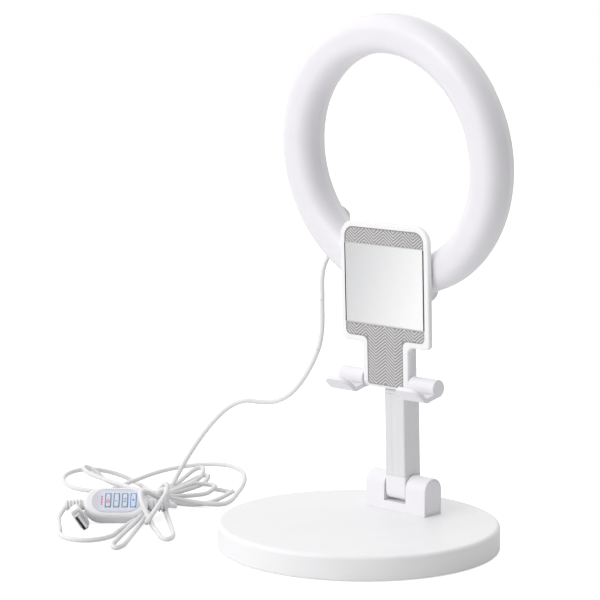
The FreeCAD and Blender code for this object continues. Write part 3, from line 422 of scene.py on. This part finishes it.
POST_TOP = (-85, 53, 161)
POST_LOW = (-85, 53, 139)
RING_RUN = [outlet_place(SLEEVE_END), outlet_place(SLEEVE_END + 1), (-73.9, 67, 226.5), (-74.9, 69.4, 223.6),
            (-76.8, 69.4, 218), (-79.4, 66.5, 210), (-82.6, 61.5, 200), (-86, 55, 184), POST_TOP]
POST_RUN = [POST_TOP, POST_LOW, tuple(FALL_START)]
FALL_RUN = [fall_place(number / FALL_STEPS) for number in range(FALL_STEPS + 1)]
WHOLE_RUN = smooth_path(RING_RUN[:-1] + POST_RUN[:-1] + FALL_RUN, 14)


def cord_piece(name, path, node):
    points, faces = tube(path, CORD_RADIUS, 14)
    item = piece(name, WORLD, points, faces, FINISHES["cord_white"], None, "cord_white")
    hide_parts(node)
    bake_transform(item)
    return item


fall_start = next(index for index, point in enumerate(WHOLE_RUN) if point.z <= FALL_START.z + 0.01)
ring_end = next(index for index, point in enumerate(WHOLE_RUN) if point.z <= POST_TOP[2] + 0.01)
cord_piece("cord_ring_run", WHOLE_RUN[:ring_end + 1], "cord_at_ring")
cord_piece("cord_post_run", WHOLE_RUN[ring_end:fall_start + 1], "cord_at_post")
cord_piece("cord_fall_run", WHOLE_RUN[fall_start:], "cord_fall")


def in_coil(matrix, x, y, z):
    """A place of another frame, in the coil's own millimetres."""
    return tuple(COIL.inverted() @ matrix @ (Vector((x, y, z)) * MM) / MM)


KNOT = (-6, -22, 10)


def loop(heading, centre, along, across, heights, out=KNOT, back=KNOT):
    """A loop of cord: a leg out, a half-oval end about a centre, and a leg back, at three heights."""
    turned = Matrix.Rotation(math.radians(heading), 2)
    leaving, tip, coming = heights
    places = list(out) if isinstance(out, list) else [out]
    for step in range(9):
        angle = math.pi * (step / 8 - 0.5)
        x, y = turned @ Vector((along * math.cos(angle), -across * math.sin(angle)))
        far = math.cos(angle)
        side = leaving if step < 4 else coming
        places.append((centre[0] + x, centre[1] + y, side + (tip - side) * far))
    return places + [back]


def arch(start, end, rise, bulge):
    """A strand between two places, raised in the middle and bulging to its left."""
    start, end = Vector(start), Vector(end)
    sideways = Vector((start.y - end.y, end.x - start.x, 0)).normalized() * bulge
    lift = Vector((0, 0, rise))
    return [start.lerp(end, step / 8) + (sideways + lift) * math.sin(math.pi * step / 8) for step in range(9)]


CASE_END = [in_coil(CONTROL, -37, 0, 0), (-76, -68, 5.5)]
STRANDS = {
    "left_loop": loop(150, (-50, 18), 32, 38, (14, 17, 4)),
    "left_inner": loop(143, (-60, 36), 14, 7, (15, 18, 9)),
    "right_loop": loop(55, (7, 19), 57, 42, (10, 16, 2), (-60, 6, 3)),
    "upper_leaf": loop(68, (15, 35), 13, 5, (15, 18, 13)),
    "second_leaf": loop(62, (19, 27), 13, 4, (13, 14, 10)),
    "flat_leaf": loop(42, (21, 11), 14, 7.5, (12, 10, 7)),
    "lower_right": arch((-6, -24, 9), (47, 11, 8), -6, -5),
    "joining": arch((31, 13, 9), (46, 18, 5), 0, 1.5),
    "behind_case": arch((-60, -4, 5), (0, -22, 12), 5, -3),
    "tail_left": loop(-101, (-25, -134), 9, 4, (2.5, 2, 2.5)),
    "front_loop": loop(-82, (6, -108), 9, 5, (3, 2, 3), KNOT, (-5, -90, 4)),
    "bow": arch((-5, -90, 4), (-2, -38, 11), 15, 13),
    "case_lead": loop(-92, (-51, -96), 27, -21, (2, 2, 2), CASE_END, (-5, -30, 7)),
    "plug_lead": [in_coil(PLUG, 0, 17, 0), in_coil(PLUG, 0, 20, 0), (-62, -46, 2.5), (-36, -34, 2), KNOT],
    "case_tail": [in_coil(CONTROL, 37, 0, 0), in_coil(CONTROL, 41, 0, 0), (6, -40, 8), KNOT],
    "hanging_end": [tuple(COIL.inverted() @ (FALL_END * MM) / MM), (-5, -8, 12), KNOT],
}
WRAPS = {
    "front_wrap": arch((-10, -91, 7), (-12, -9, 9), 13, -12),
    "rear_wrap": arch((-2, -38, 3), (-12, -8, 7), 15, -6),
}


def cords(places_by_name):
    return joined([tube(smooth_path(places, 9), CORD_RADIUS, 12) for places in places_by_name.values()])


for label, strands, node in (("floor_coil", STRANDS, "cord_bundle"), ("coil_tie", WRAPS, "cord_tie")):
    points, faces = cords(strands)
    item = piece(label, COIL, points, faces, FINISHES["cord_white"], "base", "cord_white")
    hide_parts(node)

BOOT_START = 25.4
BOOT_END = 37.5
BOOT_RIBS = 5
BOOT_STEPS = 60
BOOT_RADIUS = 4.5
BOOT_TAPER = 1.0
BOOT_RIB = 0.8


def boot(side):
    """The ribbed rubber sleeve that holds the cord where it leaves one end of the controller."""
    path = [Vector((side * (BOOT_START + (BOOT_END - BOOT_START) * step / BOOT_STEPS), 0, 0))
            for step in range(BOOT_STEPS + 1)]

    def radius(share):
        return BOOT_RADIUS - BOOT_TAPER * share - BOOT_RIB * math.cos(2 * math.pi * BOOT_RIBS * share)

    return tube(path, radius, 16)


piece("control_boots", CONTROL, *joined([boot(-1), boot(1)]), FINISHES["cord_white"], "base", "cord_white")

# grip pads ---------------------------------------------------------------------------------

PAD_FACE = -17.1
STROKE_RISE = 0.22
WEAVE_COLUMN = 9.0
WEAVE_PITCH = 2.3
WEAVE_SLANT = 0.75
STROKE_HALF = 0.55
STROKE_PIECES = 24


def inside_pad(x, z):
    """True where the pole-frame place lies on one of the two pads, a stroke's width inside its edge."""
    top, mirror_top, mirror_low, shoulder, foot = 188.0, 177.6, 119.0, 110.9, 77.0
    wide, neck, corner = 36.0, 16.1, 7.6
    if mirror_top < z < top and abs(x) < wide:
        reach_x = abs(x) - (wide - corner)
        reach_z = z - (top - corner)
        return reach_x < 0 or reach_z < 0 or math.hypot(reach_x, reach_z) < corner
    if shoulder < z < mirror_low:
        return abs(x) < wide
    return foot < z <= shoulder and abs(x) < neck


def herringbone(low, high):
    """Slanting raised strokes in columns whose slant alternates."""
    parts = []
    for number in range(-5, 5):
        left = number * WEAVE_COLUMN
        slant = WEAVE_SLANT if number % 2 else -WEAVE_SLANT
        level = low - WEAVE_COLUMN
        while level < high + WEAVE_COLUMN:
            parts += stroke(left, left + WEAVE_COLUMN, level, slant)
            level += WEAVE_PITCH
    return joined(parts)


def stroke(left, right, level, slant):
    """One slanting stroke, cut into short pieces so that it stops at the edge of its pad."""
    pieces = []
    half = STROKE_HALF
    step = (right - left) / STROKE_PIECES
    for index in range(STROKE_PIECES):
        x = left + index * step
        z = level + slant * (x - (left + right) / 2)
        next_z = z + slant * step
        if inside_pad(x, z) and inside_pad(x + step, next_z):
            outline = [(x, z - half), (x + step, next_z - half), (x + step, next_z + half), (x, z + half)]
            pieces.append(prism(outline, PAD_FACE, PAD_FACE - STROKE_RISE))
    return pieces


for label, low, high in (("pad_weave_upper", 176, 190), ("pad_weave_lower", 76, 120)):
    points, faces = herringbone(low, high)
    piece(label, POLE, points, faces, STROKE, "plate", "grip_pad", smooth=False)

# mirror edges ------------------------------------------------------------------------------

STRIP_BACK = -16.6
MIRROR_STRIP_FRONT = -17.62
END_FRONT = -17.4
MIRROR_MIDDLE = 148.3
MIRROR_HALF = 28.4
GAP_SHADOW_X = 36.3
LIP_X = 35.35
END_HALF = 36.2


def upright_strip(x, z, half_x, half_z, front):
    """A flat strip on the front of the plate, about a centre in the pole's frame."""
    outline = [(x - half_x, z - half_z), (x + half_x, z - half_z), (x + half_x, z + half_z),
               (x - half_x, z + half_z)]
    return prism(outline, front, STRIP_BACK)


# dark strips at the mirror's left and right edges are painted shadow for the narrow gaps there
gap_shadows = [upright_strip(side * GAP_SHADOW_X, MIRROR_MIDDLE, 0.55, MIRROR_HALF, MIRROR_STRIP_FRONT) for side in (-1, 1)]
lips = [upright_strip(side * LIP_X, MIRROR_MIDDLE, 0.38, MIRROR_HALF, MIRROR_STRIP_FRONT) for side in (-1, 1)]
ends = [upright_strip(0, level, END_HALF, 0.3, END_FRONT) for level in (119.6, 177.0)]
piece("mirror_ends", POLE, *joined(ends), STROKE, "plate", "grip_pad", smooth=False)
piece("mirror_gap_shadows", POLE, *joined(gap_shadows), GAP_SHADOW_DARK, "plate", "foot_rubber", smooth=False)
piece("mirror_lips", POLE, *joined(lips), FINISHES["frame_plastic"], "plate", "frame_plastic", smooth=False)

# hinge bracket -----------------------------------------------------------------------------

CAP_X = 28.1
BEAD_REACH = 7.35
BEAD_FOOT = 19.8
BEAD_STRAIGHT = 27.0
BEAD_RADIUS = 0.32


def cap_bead(x):
    """The raised bead that runs up, over and down the arched end cap; its gloss plate finish, brighter than
    the bracket, paints a highlight along the cap's edge.
    """
    near, far = HINGE_Y - BEAD_REACH, HINGE_Y + BEAD_REACH
    path = [(x, near, BEAD_FOOT), (x, near, BEAD_STRAIGHT)]
    for step in range(13):
        angle = math.pi * step / 12
        path.append((x, HINGE_Y - BEAD_REACH * math.cos(angle), HINGE_Z + BEAD_REACH * math.sin(angle)))
    path += [(x, far, BEAD_STRAIGHT), (x, far, BEAD_FOOT)]
    return tube([Vector(place) for place in path], BEAD_RADIUS, 8)


# the beads take the brighter plate finish as a painted highlight on the caps' edges
piece("cap_beads_highlight", WORLD, *joined([cap_bead(-CAP_X), cap_bead(CAP_X)]), FINISHES["frame_plastic"], "base",
      "frame_plastic")

# keypad printing ---------------------------------------------------------------------------

PANEL_TOP = 5.8
BUTTON_TOP = 6.3
BUTTONS = ("power_button", "dimmer_button", "colour_button", "brighter_button")
BUTTON_START = -6.0
BUTTON_PITCH = 6.2
MARK_COUNT = 6
MARK_X = -10.6
MARK_TOP = 3.6
MARK_PITCH = 1.45
MARK_LOW = -0.02
MARK_HIGH = 0.06


def arc_stroke(x, y, radius, start, end, width, level, steps=14):
    """A curved printed stroke; width is to either side of its radius."""
    outer = []
    inner = []
    for step in range(steps + 1):
        angle = math.radians(start + (end - start) * step / steps)
        outer.append((x + (radius + width) * math.cos(angle), y + (radius + width) * math.sin(angle)))
        inner.append((x + (radius - width) * math.cos(angle), y + (radius - width) * math.sin(angle)))
    return prism(outer + inner[::-1], level + MARK_LOW, level + MARK_HIGH, axis=2)


def bar(x, y, half_x, half_y, level):
    """A straight printed stroke about its centre."""
    return prism([(x - half_x, y - half_y), (x + half_x, y - half_y), (x + half_x, y + half_y),
                  (x - half_x, y + half_y)], level + MARK_LOW, level + MARK_HIGH, axis=2)


for number, body in enumerate(BUTTONS):
    x = BUTTON_START + BUTTON_PITCH * number
    outer, inner = rounded(x, 0, 2.0, 6.3, 1.5), rounded(x, 0, 1.62, 5.92, 1.2)
    border = loop_strip(outer, inner, BUTTON_TOP - 0.1, BUTTON_TOP + 0.05)
    ink = BLUE_INK if number == 3 else OUTLINE_INK
    piece("button_border_" + str(number), CONTROL, *border, ink, body, "button_plastic", smooth=False)
    symbols = {
        0: [arc_stroke(x, -1.4, 1.05, 120, 420, 0.24, BUTTON_TOP), bar(x, 0.1, 0.24, 1.2, BUTTON_TOP)],
        1: [bar(x, -0.8, 0.9, 0.22, BUTTON_TOP)],
        2: [arc_stroke(x, 0.9, 0.8, -60, 200, 0.2, BUTTON_TOP),
            arc_stroke(x, -0.9, 0.8, 120, 380, 0.2, BUTTON_TOP)],
        3: [bar(x, 0.2, 1.1, 0.3, BUTTON_TOP), bar(x, 0.2, 0.3, 1.1, BUTTON_TOP)],
    }[number]
    ink = RED_INK if number == 0 else BLUE_INK if number == 3 else OUTLINE_INK
    piece("button_mark_" + str(number), CONTROL, *joined(symbols), ink, body, "button_plastic", smooth=False)

marks = [bar(MARK_X, MARK_TOP - MARK_PITCH * row, 0.55, 0.45, PANEL_TOP) for row in range(MARK_COUNT)]
piece("panel_marks", CONTROL, *joined(marks), RED_INK, "base", "panel_print", smooth=False)

# surroundings ------------------------------------------------------------------------------

FLOOR_HALF = 6000
# each lobe of the sky: the way it faces, then from and to cosines and the strengths there
OVERHEAD = ((-0.35, -0.35, 0.85), (-0.9, 0.9, 0.32, 1.19))
DARK_FLAG = ((0.96, -0.18, -0.05), (0.2, 0.9, 1.0, 0.27))
KEY_PLACE = (-0.35, -1.9, 1.1)
KEY_AIM = (0, 0, 0.15)
KEY_POWER = 11.5
KEY_WIDTH = 1.2
CAMERA_DISTANCE = 1.5684
CAMERA_AZIMUTH = math.radians(41.5)
CAMERA_ELEVATION = math.radians(14.3)
CAMERA_RAISE = math.radians(6.33)
CAMERA_PAN = math.radians(1.58)
CAMERA_ROLL = math.radians(0.58)
CAMERA_LENS = 132.0


def floor():
    nodes = Nodes("floor_pale")
    speck = nodes.noise(3.0, 2.0)
    nodes.link(nodes.ramp(speck, [(0.3, (0.74, 0.74, 0.745)), (0.7, (0.76, 0.76, 0.76))]),
               nodes.shader.inputs["Base Color"])
    nodes.set(Roughness=0.9)
    nodes.shader.inputs["Emission Color"].default_value = (1, 1, 1, 1)
    seen = nodes.add("ShaderNodeLightPath").outputs["Is Camera Ray"]
    nodes.link(nodes.math("MULTIPLY", seen, 0.62), nodes.shader.inputs["Emission Strength"])
    corners = [(x * FLOOR_HALF, y * FLOOR_HALF, 0) for x, y in ((-1, -1), (1, -1), (1, 1), (-1, 1))]
    item = piece("floor", WORLD, corners, [(0, 1, 2, 3)], nodes.material, None, None, smooth=False)


def sky():
    """Soft studio light: bright from the left, the front and above, with a dark flag at the right."""
    world = bpy.data.worlds.new("studio")
    bpy.context.scene.world = world
    world.use_nodes = True
    tree = world.node_tree
    background = tree.nodes["Background"]
    place = tree.nodes.new("ShaderNodeTexCoord")

    def lobe(direction, stops):
        toward = tree.nodes.new("ShaderNodeVectorMath")
        toward.operation = "DOT_PRODUCT"
        toward.inputs[1].default_value = Vector(direction).normalized()
        spread = tree.nodes.new("ShaderNodeMapRange")
        spread.interpolation_type = "SMOOTHSTEP"
        for name, number in zip(RANGE_ENDS, stops):
            spread.inputs[name].default_value = number
        tree.links.new(place.outputs["Generated"], toward.inputs[0])
        tree.links.new(toward.outputs["Value"], spread.inputs["Value"])
        return spread.outputs["Result"]

    both = tree.nodes.new("ShaderNodeMath")
    both.operation = "MULTIPLY"
    tree.links.new(lobe(*OVERHEAD), both.inputs[0])
    tree.links.new(lobe(*DARK_FLAG), both.inputs[1])
    ray = tree.nodes.new("ShaderNodeLightPath")
    choose = tree.nodes.new("ShaderNodeMix")
    choose.data_type = "FLOAT"
    choose.inputs[3].default_value = 1.0
    tree.links.new(ray.outputs["Is Camera Ray"], choose.inputs[0])
    tree.links.new(both.outputs[0], choose.inputs[2])
    tree.links.new(choose.outputs[0], background.inputs["Strength"])
    background.inputs["Color"].default_value = (1, 1, 1, 1)


def lamp(name, place, aim, power, width):
    light = bpy.data.lights.new(name, "AREA")
    light.shape = "SQUARE"
    light.size = width
    light.energy = power
    item = bpy.data.objects.new(name, light)
    item.location = place
    item.rotation_euler = (Vector(aim) - Vector(place)).to_track_quat("-Z", "Y").to_euler()
    bpy.context.scene.collection.objects.link(item)


def camera():
    """A long lens from the front right, a little above the object."""
    level = math.cos(CAMERA_ELEVATION)
    back = Vector((math.sin(CAMERA_AZIMUTH) * level, -math.cos(CAMERA_AZIMUTH) * level,
                   math.sin(CAMERA_ELEVATION)))
    across = (-back).cross(Vector((0, 0, 1))).normalized()
    above = across.cross(-back)
    lifted = -back * math.cos(CAMERA_RAISE) + above * math.sin(CAMERA_RAISE)
    aim = lifted * math.cos(CAMERA_PAN) - across * math.sin(CAMERA_PAN)
    raised = across.cross(lifted)
    side = aim.cross(raised).normalized()
    upward = side.cross(aim)
    rolled_side = side * math.cos(CAMERA_ROLL) + upward * math.sin(CAMERA_ROLL)
    rolled_up = upward * math.cos(CAMERA_ROLL) - side * math.sin(CAMERA_ROLL)
    data = bpy.data.cameras.new("camera")
    data.lens = CAMERA_LENS
    data.sensor_width = 36.0
    data.clip_end = 50.0
    item = bpy.data.objects.new("camera", data)
    item.matrix_world = Matrix.Translation(back * CAMERA_DISTANCE) @ Matrix(
        (rolled_side, rolled_up, -aim)).transposed().to_4x4()
    bpy.context.scene.collection.objects.link(item)
    bpy.context.scene.camera = item


floor()
sky()
lamp("key", KEY_PLACE, KEY_AIM, KEY_POWER, KEY_WIDTH)
camera()
bpy.context.scene.view_settings.view_transform = "Standard"
